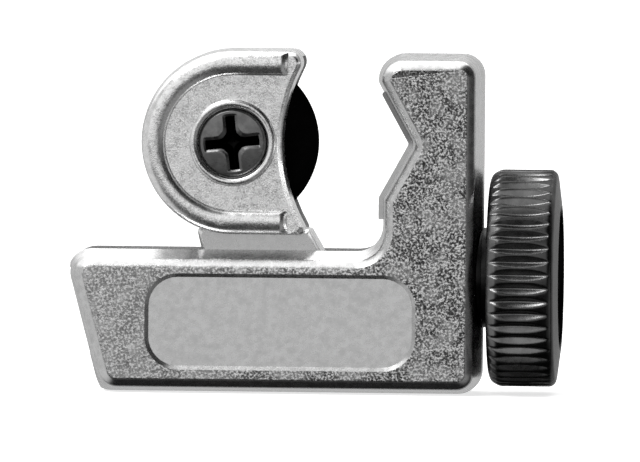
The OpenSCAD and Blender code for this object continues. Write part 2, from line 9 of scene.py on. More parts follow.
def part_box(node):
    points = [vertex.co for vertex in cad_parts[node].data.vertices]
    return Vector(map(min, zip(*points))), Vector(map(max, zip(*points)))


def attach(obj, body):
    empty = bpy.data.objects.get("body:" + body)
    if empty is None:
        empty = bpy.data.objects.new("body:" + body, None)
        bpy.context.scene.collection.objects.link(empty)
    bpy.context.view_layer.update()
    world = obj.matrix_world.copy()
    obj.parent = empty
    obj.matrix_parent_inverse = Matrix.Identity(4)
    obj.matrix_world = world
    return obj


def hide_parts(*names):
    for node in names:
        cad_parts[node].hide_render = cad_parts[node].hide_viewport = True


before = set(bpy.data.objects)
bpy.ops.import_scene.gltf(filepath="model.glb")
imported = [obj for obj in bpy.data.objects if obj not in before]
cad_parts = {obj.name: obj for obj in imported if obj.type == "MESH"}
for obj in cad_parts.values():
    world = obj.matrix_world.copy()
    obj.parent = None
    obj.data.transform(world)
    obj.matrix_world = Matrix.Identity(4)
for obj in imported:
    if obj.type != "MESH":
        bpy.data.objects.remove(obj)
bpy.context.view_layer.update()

# All lengths are in metres, and MM turns millimetres into them
MM = 0.001


# Meshes from rings of points

CENTRE_R = 0.05 * MM
CORNER_STEPS = 3
CORNER_SHARE = 0.45
NORMAL_WEIGHT = 60


def signed_volume(points, triangles):
    """Volume inside a closed skin: the sum over its triangles of a . (b x c) / 6."""
    a, b, c = (points[triangles[:, i]] for i in range(3))
    return float(np.einsum("ij,ij->i", a, np.cross(b, c)).sum() / 6)


def put_in_mesh(name, points, triangles, quads):
    """One mesh object from a point array and two face arrays, with every face turned outward."""
    split = np.concatenate([triangles, quads[:, [0, 1, 2]], quads[:, [0, 2, 3]]])
    if signed_volume(points, split) < 0:
        triangles = triangles[:, ::-1]
        quads = quads[:, ::-1]
    mesh = bpy.data.meshes.new(name)
    mesh.vertices.add(len(points))
    mesh.vertices.foreach_set("co", points.astype(np.float32).ravel())
    corners = np.concatenate([triangles.ravel(), quads.ravel()]).astype(np.int32)
    sizes = np.concatenate([np.full(len(triangles), 3), np.full(len(quads), 4)])
    starts = np.concatenate([[0], np.cumsum(sizes)[:-1]]).astype(np.int32)
    mesh.loops.add(len(corners))
    mesh.loops.foreach_set("vertex_index", corners)
    mesh.polygons.add(len(sizes))
    mesh.polygons.foreach_set("loop_start", starts)
    mesh.polygons.foreach_set("use_smooth", np.ones(len(sizes), bool))
    mesh.update(calc_edges=True)
    mesh.validate()
    piece = bpy.data.objects.new(name, mesh)
    bpy.context.scene.collection.objects.link(piece)
    return piece


def ring_quads(rings, count, gaps):
    """Faces between each ring and the next over a number of gaps, and round each ring from its last
    point to its first. With as many gaps as rings, the last ring joins the first."""
    k, i = np.meshgrid(np.arange(gaps), np.arange(count), indexing="ij")
    j = (i + 1) % count
    m = (k + 1) % rings
    return np.stack([k * count + i, k * count + j, m * count + j, m * count + i], -1).reshape(-1, 4)


def closed_rings(name, grid):
    """A skin over rings of points (rings, points, 3), closed by a point in the middle of each end
    ring."""
    rings, count = grid.shape[:2]
    ends = np.stack([grid[0].mean(0), grid[-1].mean(0)])
    points = np.concatenate([grid.reshape(-1, 3), ends])
    i = np.arange(count)
    j = (i + 1) % count
    first = np.stack([np.full(count, rings * count), j, i], -1)
    top = (rings - 1) * count
    last = np.stack([np.full(count, rings * count + 1), top + i, top + j], -1)
    return put_in_mesh(name, points, np.concatenate([first, last]), ring_quads(rings, count, rings - 1))


def looped_rings(name, grid):
    """A skin over rings of points whose last ring joins the first, as round a bore."""
    rings, count = grid.shape[:2]
    no_triangles = np.zeros((0, 3), int)
    return put_in_mesh(name, grid.reshape(-1, 3), no_triangles, ring_quads(rings, count, rings))


def softened(profile, radius):
    """A profile of (place, radius) points with each inner corner replaced by a short quadratic curve,
    from a point before the corner to a point after it, with the corner as its pull. Both lie the given
    radius from the corner, or less on a short side."""
    points = np.array(profile, float)
    out = [points[0]]
    for before, corner, after in zip(points[:-2], points[1:-1], points[2:]):
        back, ahead = before - corner, after - corner
        reach = min(radius, CORNER_SHARE * np.linalg.norm(back), CORNER_SHARE * np.linalg.norm(ahead))
        start = corner + back / np.linalg.norm(back) * reach
        end = corner + ahead / np.linalg.norm(ahead) * reach
        t = np.linspace(0, 1, CORNER_STEPS + 1)[:, None]
        out.extend((1 - t) ** 2 * start + 2 * t * (1 - t) * corner + t**2 * end)
    out.append(points[-1])
    return np.array(out)


def refined(profile, longest):
    """The same profile with extra points, so that no step is longer than the given length."""
    out = [profile[0]]
    for a, b in zip(profile[:-1], profile[1:]):
        parts = max(1, math.ceil(np.linalg.norm(b - a) / longest))
        out.extend(a + (b - a) * s for s in np.arange(1, parts + 1)[:, None] / parts)
    return np.array(out)


def turned_profile(points, radius, longest):
    """The places and the radii of a softened and refined profile, as two columns."""
    profile = refined(softened(points, radius), longest)
    return profile[:, :1], profile[:, 1:]


def round_x(places, radii, turns, axis_z):
    """Points at places along X, each at its radius and angle from the line y = 0, z = axis_z."""
    places, radii, turns = np.broadcast_arrays(places, radii, turns)
    return np.stack([places, radii * np.cos(turns), axis_z + radii * np.sin(turns)], -1)


def round_y(places, radii, turns, axis_x, axis_z):
    """Points at places along Y, each at its radius and angle from the line x = axis_x, z = axis_z."""
    places, radii, turns = np.broadcast_arrays(places, radii, turns)
    return np.stack([axis_x + radii * np.cos(turns), places, axis_z + radii * np.sin(turns)], -1)


def full_turn(count):
    """Evenly spaced angles round one turn, as one row."""
    return np.linspace(0, 2 * math.pi, count, endpoint=False)[None, :]


def smoothstep(low, high, value):
    """With t the share of the way from low to high, t * t * (3 - 2 t). Low may be the larger of the
    two."""
    t = np.clip((value - low) / (high - low), 0, 1)
    return t * t * (3 - 2 * t)


def thread_wave(place, turns, pitch):
    """A triangle wave between 0 and 1 along the axis, which climbs one pitch a turn."""
    return np.abs(((place / pitch - turns / (2 * math.pi)) % 1) - 0.5) * 2


def weighted_normals(piece):
    """Flat faces keep a flat look beside small roundings, because the larger face sets the normal."""
    mod = piece.modifiers.new("shade", "WEIGHTED_NORMAL")
    mod.mode = "FACE_AREA"
    mod.weight = NORMAL_WEIGHT
    mod.keep_sharp = True
    return piece


# Nodes for the finishes and the light


def feed(tree, socket, given):
    """Links a socket to another, or sets it to a value."""
    if isinstance(given, bpy.types.NodeSocket):
        tree.links.new(given, socket)
    else:
        socket.default_value = given


def maths(tree, operation, a, b=0.0):
    """The result of a sum on two sockets or numbers."""
    node = tree.nodes.new("ShaderNodeMath")
    node.operation = operation
    feed(tree, node.inputs[0], a)
    feed(tree, node.inputs[1], b)
    return node.outputs[0]


def vector_maths(tree, operation, source, given=(0, 0, 0)):
    """The node of a sum on a vector socket and a fixed vector."""
    node = tree.nodes.new("ShaderNodeVectorMath")
    node.operation = operation
    feed(tree, node.inputs[0], source)
    feed(tree, node.inputs[1], given)
    return node


def vector_part(tree, source, axis):
    """One of a vector's three parts."""
    parts = tree.nodes.new("ShaderNodeSeparateXYZ")
    feed(tree, parts.inputs["Vector"], source)
    return parts.outputs[axis]


def ramp(tree, source, low, high, to_low=0.0, to_high=1.0):
    """A smooth step from one value to the other while the source goes from low to high."""
    node = tree.nodes.new("ShaderNodeMapRange")
    node.interpolation_type = "SMOOTHSTEP"
    feed(tree, node.inputs["Value"], source)
    for socket, given in zip(("From Min", "From Max", "To Min", "To Max"), (low, high, to_low, to_high)):
        feed(tree, node.inputs[socket], given)
    return node.outputs["Result"]


def grey(value):
    """A colour with the same red, green and blue, and full opacity."""
    return (value, value, value, 1)


CLOUD_BAND = (0.3, 0.7)
BLACKENED_TINT = 0.4


class Finish:
    """A material under construction: its tree, its shader, and short ways to add nodes."""

    def __init__(self, name, metallic):
        self.material = bpy.data.materials.new(name)
        self.material.use_nodes = True
        self.tree = self.material.node_tree
        self.shader = self.tree.nodes["Principled BSDF"]
        self.shader.inputs["Metallic"].default_value = metallic
        self.coordinates = self.tree.nodes.new("ShaderNodeTexCoord").outputs["Object"]

    def noise(self, size, detail=2.0, roughness=0.5, stretch=None):
        """Three-dimensional noise whose grains are about size across."""
        node = self.tree.nodes.new("ShaderNodeTexNoise")
        node.inputs["Scale"].default_value = 1 / size
        node.inputs["Detail"].default_value = detail
        node.inputs["Roughness"].default_value = roughness
        source = self.coordinates
        if stretch:
            mapping = self.tree.nodes.new("ShaderNodeMapping")
            mapping.inputs["Scale"].default_value = stretch
            feed(self.tree, mapping.inputs["Vector"], source)
            source = mapping.outputs["Vector"]
        feed(self.tree, node.inputs["Vector"], source)
        return node.outputs["Fac"]

    def ranged(self, source, low, high, to_low=0.0, to_high=1.0):
        """A smooth step over a range of the source."""
        return ramp(self.tree, source, low, high, to_low, to_high)

    def clouds(self, size, detail=2.0, to_low=0.0, to_high=1.0):
        """Soft patches of about the given size, between two values."""
        return self.ranged(self.noise(size, detail), *CLOUD_BAND, to_low, to_high)

    def math(self, operation, a, b=0.0):
        """The result of a sum in this material."""
        return maths(self.tree, operation, a, b)

    def mix(self, factor, a, b):
        """A colour between a and b."""
        node = self.tree.nodes.new("ShaderNodeMix")
        node.data_type = "RGBA"
        feed(self.tree, node.inputs["Factor"], factor)
        feed(self.tree, node.inputs[6], a)
        feed(self.tree, node.inputs[7], b)
        return node.outputs[2]

    def greys(self, factor, tone, shares):
        """A grey between two shares of a tone."""
        return self.mix(factor, grey(tone * shares[0]), grey(tone * shares[1]))

    def place(self, axis):
        """The place along an axis."""
        return vector_part(self.tree, self.coordinates, axis)

    def off_middle(self, axis):
        """The distance along an axis from the object's middle plane, either way."""
        return self.math("ABSOLUTE", self.place(axis))

    def facing(self, axis):
        """How far the smoothly shaded surface faces along an axis, from 0 to 1, either way."""
        normal = self.tree.nodes.new("ShaderNodeNewGeometry").outputs["Normal"]
        return self.math("ABSOLUTE", vector_part(self.tree, normal, axis))

    def away_from(self, point, across):
        """The distance from a line through a point. Across is 1 for each axis that the line doesn't run
        along."""
        offset = vector_maths(self.tree, "SUBTRACT", self.coordinates, point).outputs["Vector"]
        level = vector_maths(self.tree, "MULTIPLY", offset, across).outputs["Vector"]
        return vector_maths(self.tree, "LENGTH", level).outputs["Value"]

    def bump(self, height, distance, strength=1.0):
        """Fine relief, as a normal for the shader. Distance is how deep the heights from 0 to 1 go."""
        node = self.tree.nodes.new("ShaderNodeBump")
        node.inputs["Distance"].default_value = distance
        feed(self.tree, node.inputs["Strength"], strength)
        feed(self.tree, node.inputs["Height"], height)
        return node.outputs["Normal"]

    def finish(self, colour, roughness, normal):
        """The material, with its colour, roughness and relief linked to the shader."""
        for socket, source in (("Base Color", colour), ("Roughness", roughness), ("Normal", normal)):
            feed(self.tree, self.shader.inputs[socket], source)
        return self.material


def blackened(name):
    """The start of a blackened steel: a metal that stays dim where it is seen at a flat angle."""
    f = Finish(name, 1.0)
    f.shader.inputs["Specular Tint"].default_value = grey(BLACKENED_TINT)
    return f


def dress(piece, body, material, slot, *nodes):
    """Gives a piece its finish and its body, and hides the nodes that it stands for. The slot is not
    used.
    """
    piece.data.materials.clear()
    piece.data.materials.append(material)
    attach(piece, body)
    if nodes:
        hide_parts(*nodes)
    return piece


# Tumbled zinc: where its peened skin begins and ends, how its tones spread, and where its painted light
# and shade lie

FLAT_FACING = (0.9, 0.99)
SKIN_START = 0.22 * MM
SKIN_FULL = 0.04 * MM
PATCH_SIZE = 2.2 * MM
PATCH_BAND = (0.36, 0.6)
PATCH_LEAST = 0.62
PAINTED_LIGHT_LEAST = 0.6
GRAIN_DETAIL = (3.0, 0.7)
GRAIN_BAND = (0.43, 0.62)
PIT_GRAINS = 3
PIT_RELIEF = 0.6
GROUND_SHARES = (0.75, 1.2)
STREAK_SIZE = 0.8 * MM
STREAK_DETAIL = (4.0, 0.62)
WALL_SHARES = (0.84, 1.08)
WALL_RELIEF = 0.05
INNER_START = 5 * MM
INNER_FULL = 4 * MM
WHEEL_BAND = 0.5 * MM
SHADE_EDGE = 1.25
SHADE_RUN = 0.3 * MM
SHADE_TONE = 0.02
ZINC_ROUGHNESS = (0.25, 0.285)
PEEN_DEPTH = 0.05 * MM


def tumbled_zinc(name, face_depth, tones, wall, grain, speckle, painted_light_run, recess_shade, shaded=None):
    """Die-cast zinc after tumbling. The outermost flat faces keep a peened skin of bright grains on a
    darker ground, and the walls, bevels and recesses are rubbed smooth. The faces lie at face_depth
    from the parting plane. Tones are those of the ground and the grains. Two places along X give a
    painted gradient of light: between them the peening comes in, so the skin thins toward the left
    end and the faces there are painted lighter, as if lit from the left. Two shares of the walls'
    tone give painted shade to the recessed flat faces near the parting plane, below and above the
    wheel's middle. Shaded is a line, as a point and the axes across it, then a radius round the line
    and a place along X: painted shade makes the colour dark within the radius and past the place."""
    f = Finish(name, 1.0)
    depth = f.off_middle("Y")
    flat = f.ranged(f.facing("Y"), *FLAT_FACING)
    outermost = f.ranged(depth, face_depth - SKIN_START, face_depth - SKIN_FULL)
    patches = f.ranged(f.noise(PATCH_SIZE), *PATCH_BAND, PATCH_LEAST)
    # Painted light: the peened skin thins toward the left end, so the faces there are painted lighter,
    # as if lit from the left
    painted_light_share = f.ranged(f.place("X"), *painted_light_run, PAINTED_LIGHT_LEAST)
    skin = f.math("MULTIPLY", f.math("MULTIPLY", outermost, flat), f.math("MULTIPLY", patches, painted_light_share))
    grains = f.noise(grain, *GRAIN_DETAIL)
    pits = f.noise(grain * PIT_GRAINS)
    ground = f.greys(f.ranged(pits, *PATCH_BAND), tones[0], GROUND_SHARES)
    peened = f.mix(f.ranged(grains, *GRAIN_BAND), ground, grey(tones[1]))
    streaks = f.ranged(f.noise(STREAK_SIZE, *STREAK_DETAIL), *CLOUD_BAND)
    # Painted shade: flat faces near the parting plane, in the casting's recesses, take a darker share of
    # the walls' tone, set apart below and above the wheel's middle
    recess_shade_mask = f.math("MULTIPLY", f.ranged(depth, INNER_START, INNER_FULL), flat)
    height = f.ranged(f.place("Z"), WHEEL_Z - WHEEL_BAND, WHEEL_Z + WHEEL_BAND)
    rubbed = f.mix(recess_shade_mask, f.greys(streaks, wall, WALL_SHARES), f.greys(height, wall, recess_shade))
    colour = f.mix(skin, rubbed, peened)
    # Painted shade: the colour goes dark round the line and past the place along X, where the boss
    # beside the knob lies in shade
    if shaded:
        point, across, radius, start = shaded
        near = f.ranged(f.away_from(point, across), radius * SHADE_EDGE, radius)
        past = f.ranged(f.place("X"), start, start + SHADE_RUN)
        colour = f.mix(f.math("MULTIPLY", near, past), colour, grey(SHADE_TONE))
    roughness = f.ranged(streaks, 0.0, 1.0, *ZINC_ROUGHNESS)
    relief = f.math("ADD", grains, f.math("MULTIPLY", pits, PIT_RELIEF))
    strength = f.math("ADD", f.math("MULTIPLY", skin, speckle), WALL_RELIEF)
    return f.finish(colour, roughness, f.bump(relief, PEEN_DEPTH, strength))


# Castings: the solid's own shape, with its facets merged and its sharp edges rubbed round

EDGE_RUB = 0.2 * MM
EDGE_STEPS = 3
MERGE = 0.001 * MM
COPLANAR = math.radians(1)
FOLD_DEPTH = 0.7 * MM
FOLD_WIDTH = 0.35 * MM
FOLD_FACING = 0.5
FRAME_ANGLE = math.radians(33)
CARRIAGE_ANGLE = math.radians(40)


def unfolded(work):
    """Joins the points of slivers near the outermost faces that are folded back, and so face the
    parting plane."""
    work.normal_update()
    depth = max(abs(vert.co.y) for vert in work.verts) - FOLD_DEPTH
    folded = set()
    for face in work.faces:
        outer = all(abs(vert.co.y) > depth for vert in face.verts)
        backward = face.normal.y * face.calc_center_median().y < 0
        if outer and backward and abs(face.normal.y) > FOLD_FACING:
            folded.update(face.verts)
    joined = [vert for vert in work.verts if vert in folded]
    bmesh.ops.remove_doubles(work, verts=joined, dist=FOLD_WIDTH)


def casting_copy(node, name, least_angle):
    """A copy of a node's mesh: points merged, coplanar triangles joined, and the edges that turn by
    more than the least angle bevelled."""
    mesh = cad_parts[node].data.copy()
    mesh.name = name
    work = bmesh.new()
    work.from_mesh(mesh)
    bmesh.ops.remove_doubles(work, verts=work.verts, dist=MERGE)
    unfolded(work)
    bmesh.ops.dissolve_limit(
        work, angle_limit=COPLANAR, verts=work.verts, edges=work.edges, delimit=set()
    )
    for face in work.faces:
        face.smooth = True
    work.to_mesh(mesh)
    work.free()
    piece = bpy.data.objects.new(name, mesh)
    bpy.context.scene.collection.objects.link(piece)
    bevel = piece.modifiers.new("rubbed edges", "BEVEL")
    bevel.width = EDGE_RUB
    bevel.segments = EDGE_STEPS
    bevel.limit_method = "ANGLE"
    bevel.angle_limit = least_angle
    bevel.use_clamp_overlap = True
    bevel.harden_normals = False
    return weighted_normals(piece)


# The feed screw's axis lies at the middle of the knob. The painted shade on the flat faces inside the
# castings changes at the height of the wheel's middle
SCREW_Z = (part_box("knob")[0].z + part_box("knob")[1].z) / 2
WHEEL_Z = (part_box("cutter_wheel")[0].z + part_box("cutter_wheel")[1].z) / 2
SCREW_LINE = ((0, 0, SCREW_Z), (0, 1, 1))
frame_low, frame_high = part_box("frame")
CHEEK_FACE = 5.2 * MM
# Painted shade round the boss beside the knob: its radius round the screw's axis, and where it starts
# along X
BOSS_SHADE_R = 6.2 * MM
BOSS_SHADE_START = frame_high.x - 0.75 * MM

# The frame's zinc carries painted shade in its recesses and round the boss, and a painted gradient of
# light that makes its left end lighter
ZINC = tumbled_zinc(
    "tumbled_zinc_frame",
    face_depth=frame_high.y,
    tones=(0.06, 0.95),
    wall=0.7,
    grain=0.24 * MM,
    speckle=1.0,
    painted_light_run=(frame_low.x, frame_high.x - 12 * MM),
    recess_shade=(0.75, 0.35),
    shaded=(*SCREW_LINE, BOSS_SHADE_R, BOSS_SHADE_START),
)
# The carriage's zinc carries painted shade on its recessed flat faces
ZINC_CARRIAGE = tumbled_zinc(
    "tumbled_zinc_carriage",
    face_depth=CHEEK_FACE,
    tones=(0.72, 1.0),
    wall=0.92,
    grain=0.2 * MM,
    speckle=0.55,
    painted_light_run=(frame_low.x, frame_low.x + 1 * MM),
    recess_shade=(0.64, 0.64),
)
frame_casting = casting_copy("frame", "frame_casting", FRAME_ANGLE)
dress(frame_casting, "body", ZINC, "cast_zinc", "frame")
carriage_casting = casting_copy("carriage", "carriage_casting", CARRIAGE_ANGLE)
dress(carriage_casting, "slide", ZINC_CARRIAGE, "carriage_zinc", "carriage")


# Knob: a turned blank whose radius is lowered along fifty grooves

knob_low, knob_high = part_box("knob")
KNOB_X = knob_low.x
KNOB_END = knob_high.x
KNOB_R = (knob_high.z - knob_low.z) / 2
KNOB_SOFTNESS = 0.35 * MM
KNOB_STEP = 0.34 * MM
HUB_R = 5.3 * MM
HUB_STEP = 0.17 * MM
GROOVES = 50
GROOVE_POINTS = 12
GROOVE_DEPTH = 0.64 * MM
GROOVE_HALF = 0.47
GROOVE_BOW = 0.7
GROOVE_START = 0.4 * MM
GROOVE_LENGTH = 6.5 * MM
RIBBED_BAND = 1.4 * MM
DISH_R = 7.7 * MM
DISH_DEPTH = 2.4 * MM
DISH_BOSS_R = 3.4 * MM
KNOB_BORE_R = 1.95 * MM
FLANK_SHARES = (0.85, 1.15)
CREST_SHARES = (0.28, 0.4)
CREST_START = 0.16 * MM
CREST_FULL = 0.04 * MM
RIM_START = 0.5 * MM
RIM_FULL = 0.35 * MM
DISH_START = 0.02 * MM
DISH_FULL = 0.05 * MM


def knob_profile():
    """Place and radius from the bore's left end over the hub, the ribs and the cone into the dish and
    back."""
    end, r, floor = KNOB_END, KNOB_R, KNOB_END - DISH_DEPTH
    boss = KNOB_END - DISH_DEPTH / 2
    return [
        (KNOB_X, KNOB_BORE_R),
        (KNOB_X, HUB_R),
        (KNOB_X + HUB_STEP, HUB_R + 0.15 * MM),
        (KNOB_X + HUB_STEP, r - 1.3 * MM),
        (KNOB_X + 0.45 * MM, r - 0.5 * MM),
        (KNOB_X + 1.35 * MM, r),
        (end - 0.9 * MM, r),
        (end - 0.45 * MM, r - 0.4 * MM),
        (end, DISH_R),
        (end - 0.25 * MM, DISH_R - 0.45 * MM),
        (floor + 0.4 * MM, DISH_R - 0.7 * MM),
        (floor, DISH_R - 1.1 * MM),
        (floor, DISH_BOSS_R),
        (boss, DISH_BOSS_R - 0.3 * MM),
        (boss, KNOB_BORE_R),
    ]


def knob_knurled():
    """A profile turned about the screw's axis. Along the ribbed band each fiftieth of the turn has a V
    groove, whose depth and half width both follow a bow that is full in the middle and nothing at the
    two ends: one less the square of the place between the ends, from -1 to 1, raised to a power."""
    x, r = turned_profile(knob_profile(), KNOB_SOFTNESS, KNOB_STEP)
    turns = full_turn(GROOVES * GROOVE_POINTS)
    along = (x - KNOB_X - GROOVE_START) / GROOVE_LENGTH
    bow = np.clip(1 - (2 * along - 1) ** 2, 0, None) ** GROOVE_BOW
    bow = np.where(r > KNOB_R - RIBBED_BAND, bow, 0)
    phase = (turns / (2 * math.pi) * GROOVES) % 1
    valley = np.clip(bow - np.abs(phase - 0.5) / GROOVE_HALF, 0, None)
    grid = round_x(x, r - GROOVE_DEPTH * valley, turns, SCREW_Z)
    return weighted_normals(looped_rings("knob_knurled", grid))


def blackened_steel(name, colour, rim_reflection, recess_shade, roughness):
    """Blackened steel with a satin gloss, darker on the ribs' crests, with a painted reflection that
    makes the rim round the end face brighter, and painted shade that makes the dish dead black inside."""
    f = blackened(name)
    away = f.away_from(*SCREW_LINE)
    clouds = f.clouds(1.6 * MM, 3.0)
    crest = f.ranged(away, KNOB_R - CREST_START, KNOB_R - CREST_FULL)
    tone = f.mix(crest, f.greys(clouds, colour, FLANK_SHARES), f.greys(clouds, colour, CREST_SHARES))
    # Painted reflection: the rim round the end face is made brighter, as it would mirror the bright
    # surroundings
    tone = f.mix(f.ranged(f.place("X"), KNOB_END - RIM_START, KNOB_END - RIM_FULL), tone, grey(rim_reflection))
    # Painted shade: the dish is made dead black inside
    tone = f.mix(f.ranged(away, DISH_R + DISH_START, DISH_R - DISH_FULL), tone, grey(recess_shade))
    rough = f.clouds(0.5 * MM, 2.0, roughness - 0.04, roughness + 0.05)
    return f.finish(tone, rough, f.bump(f.noise(0.11 * MM), 0.004 * MM))


BLACK_KNOB = blackened_steel("blackened_steel_knob", colour=0.18, rim_reflection=0.36, recess_shade=0.01, roughness=0.27)
dress(knob_knurled(), "spindle", BLACK_KNOB, "black_knob", "knob")


# Cutting wheel: a turned profile with a hub, a thinning blade and a ground edge

wheel_low, wheel_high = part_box("cutter_wheel")
WHEEL_X = (wheel_low.x + wheel_high.x) / 2
WHEEL_R = (wheel_high.z - wheel_low.z) / 2
WHEEL_POINTS = 192
WHEEL_SOFTNESS = 0.05 * MM
WHEEL_STEP = 0.6 * MM
WHEEL_BORE_R = 2.45 * MM
WHEEL_HUB_R = 4.0 * MM
HUB_HALF = wheel_high.y
BLADE_HALF = 1.1 * MM
GRIND_HALF = 0.75 * MM
GRIND_WIDTH = 1.5 * MM
EDGE_HALF = 0.035 * MM


def cutter_wheel():
    """Half of the profile from bore to edge, mirrored for the other side and turned about the wheel's
    axis."""
    half = [
        (HUB_HALF, WHEEL_BORE_R),
        (HUB_HALF, WHEEL_HUB_R - 0.1 * MM),
        (HUB_HALF - 0.15 * MM, WHEEL_HUB_R),
        (BLADE_HALF, WHEEL_HUB_R),
        (GRIND_HALF, WHEEL_R - GRIND_WIDTH),
        (EDGE_HALF, WHEEL_R),
    ]
    whole = half + [(-y, r) for y, r in half[::-1]]
    places, radii = turned_profile(whole, WHEEL_SOFTNESS, WHEEL_STEP)
    grid = round_y(places, radii, full_turn(WHEEL_POINTS), WHEEL_X, WHEEL_Z)
    return weighted_normals(looped_rings("cutter_wheel_ground", grid))


def black_oxide(name, colour, roughness, grain):
    """A dull black coating with a fine skin, even in tone and with next to no gloss."""
    f = Finish(name, 0.0)
    f.shader.inputs["Specular IOR Level"].default_value = 0.0
    tone = f.greys(f.clouds(2.5 * MM, 3.0), colour, (0.8, 1.25))
    rough = f.clouds(grain * 3, 2.0, roughness - 0.05, roughness + 0.07)
    return f.finish(tone, rough, f.bump(f.noise(grain), 0.003 * MM))


BLACK_OXIDE = black_oxide("black_oxide_wheel", colour=0.002, roughness=0.5, grain=0.15 * MM)
dress(cutter_wheel(), "wheel", BLACK_OXIDE, "wheel_steel", "cutter_wheel")


# Wheel screw: a low dome with a cross recess, on a shoulder and a threaded tip

screw_low, screw_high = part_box("wheel_screw")
HEAD_FRONT = screw_low.y
SCREW_BACK = screw_high.y
SCREW_POINTS = 288
SCREW_SOFTNESS = 0.12 * MM
SCREW_STEP = 0.1 * MM
HEAD_R = (screw_high.z - screw_low.z) / 2
HEAD_HEIGHT = 2.0 * MM
HEAD_DOME = 0.22 * MM
HEAD_BEVEL = 0.3 * MM
FRONT_RINGS = 84
FRONT_FIRST = 0.03
SHOULDER_R = 2.4 * MM
SHOULDER_PLAY = 0.1 * MM
TIP_R = 1.98 * MM
TIP_PITCH = 0.7 * MM
TIP_DEPTH = 0.16 * MM
TIP_BAND = (1.9 * MM, 2.0 * MM)
CROSS_TURN = math.radians(6)
CROSS_REACH = 2.86 * MM
CROSS_HALF = 0.5 * MM
CROSS_FILLET = 1.0 * MM
CROSS_BLEND = 0.3
CROSS_DEPTH = 1.7 * MM
CROSS_RISE = 0.35
END_SLOPE = 1.6
WALL_POWER = 0.8
RIM_DISH = 0.14 * MM
RIM_WIDTH = 0.34 * MM
RIM_END = 0.25 * MM


def recess_depth(x, y):
    """Depth of the cross recess at points of the head: two crossed bars with filleted inner corners,
    cut off at the reach, whose walls slope down to a sharp floor along each bar's middle that deepens
    toward the centre. A shallow dish runs round the recess."""
    bars = np.stack([np.abs(x) - CROSS_HALF, np.abs(y) - CROSS_HALF])
    gap = np.clip(CROSS_FILLET - np.abs(bars[0] - bars[1]), 0, None) / CROSS_FILLET
    blend = bars.min(0) - gap**2 * CROSS_FILLET * CROSS_BLEND
    radius = np.hypot(x, y)
    edge = np.clip(np.minimum(-blend, (CROSS_REACH - radius) * END_SLOPE) / CROSS_HALF, 0, 1)
    beside = smoothstep(RIM_WIDTH, 0, blend) * smoothstep(CROSS_REACH + RIM_END, CROSS_REACH, radius)
    return CROSS_DEPTH * (1 - CROSS_RISE * radius / CROSS_REACH) * edge**WALL_POWER + RIM_DISH * beside


def wheel_screw():
    """Head, shoulder and tip as one turned grid. The head's front is a dome whose height falls with the
    square of the radius, pushed in by the recess, and the tip loses a triangle wave that climbs one
    pitch a turn."""
    turns = full_turn(SCREW_POINTS)
    ring = np.linspace(FRONT_FIRST, 1, FRONT_RINGS)[:, None] * (HEAD_R - HEAD_BEVEL)
    dome = HEAD_FRONT + HEAD_DOME * (ring / HEAD_R) ** 2
    recess = recess_depth(ring * np.cos(turns - CROSS_TURN), ring * np.sin(turns - CROSS_TURN))
    front = round_y(dome + recess, ring, turns, WHEEL_X, WHEEL_Z)
    head_back = HEAD_FRONT + HEAD_HEIGHT
    rim_front = HEAD_FRONT + HEAD_DOME
    shoulder_end = HUB_HALF + SHOULDER_PLAY
    stem = [
        (rim_front, HEAD_R - HEAD_BEVEL),
        (rim_front + 0.28 * MM, HEAD_R),
        (head_back, HEAD_R),
        (head_back, SHOULDER_R),
        (shoulder_end, SHOULDER_R),
        (shoulder_end, TIP_R),
        (SCREW_BACK - 0.3 * MM, TIP_R),
        (SCREW_BACK, 1.6 * MM),
        (SCREW_BACK, CENTRE_R),
    ]
    places, radii = (column[1:] for column in turned_profile(stem, SCREW_SOFTNESS, SCREW_STEP))
    threaded = (radii > TIP_BAND[0]) & (radii < TIP_BAND[1])
    cut = np.where(threaded, TIP_DEPTH * thread_wave(places, turns, TIP_PITCH), 0)
    back = round_y(places, radii - cut, turns, WHEEL_X, WHEEL_Z)
    return weighted_normals(closed_rings("wheel_screw_black", np.concatenate([front, back])))


def black_screw_steel(name, colour, recess_shade, roughness):
    """Blackened steel, with painted shade that makes it nearly black where the recess goes down behind
    the head's front.
    """
    f = blackened(name)
    tone = f.greys(f.clouds(0.9 * MM, 3.0), colour, FLANK_SHARES)
    # Painted shade: nearly black down in the recess and behind the head's front
    front = HEAD_FRONT + HEAD_DOME
    down = f.ranged(f.place("Y"), front + 0.03 * MM, front + 0.16 * MM)
    away = f.away_from((WHEEL_X, 0, WHEEL_Z), (1, 0, 1))
    close = f.ranged(away, CROSS_REACH + 0.2 * MM, CROSS_REACH + 0.1 * MM)
    tone = f.mix(f.math("MULTIPLY", down, close), tone, grey(recess_shade))
    rough = f.clouds(0.5 * MM, 2.0, roughness - 0.04, roughness + 0.05)
    return f.finish(tone, rough, f.bump(f.noise(0.2 * MM), 0.005 * MM))


BLACK_SCREW = black_screw_steel("black_oxide_screw", colour=0.17, recess_shade=0.004, roughness=0.3)
dress(wheel_screw(), "slide", BLACK_SCREW, "black_screw", "wheel_screw")


# Feed screw: a rolled thread, a collar, a journal and a riveted end

feed_low, feed_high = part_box("feed_screw")
FEED_X = feed_low.x
FEED_END = feed_high.x
FEED_POINTS = 64
FEED_SOFTNESS = 0.15 * MM
FEED_STEP = 0.08 * MM
THREAD_R = 2.5 * MM
THREAD_PITCH = 0.8 * MM
THREAD_DEPTH = 0.42 * MM
THREAD_STEEPNESS = 1.3
THREAD_FLAT = 0.15
RUN_OUT_START = 1.6 * MM
RUN_OUT_END = 0.4 * MM
COLLAR_X = 8.62 * MM
COLLAR_END = 10.12 * MM
COLLAR_R = 3.7 * MM
JOURNAL_R = 2.45 * MM
SPIGOT_R = 1.94 * MM
RIVET_R = 2.7 * MM


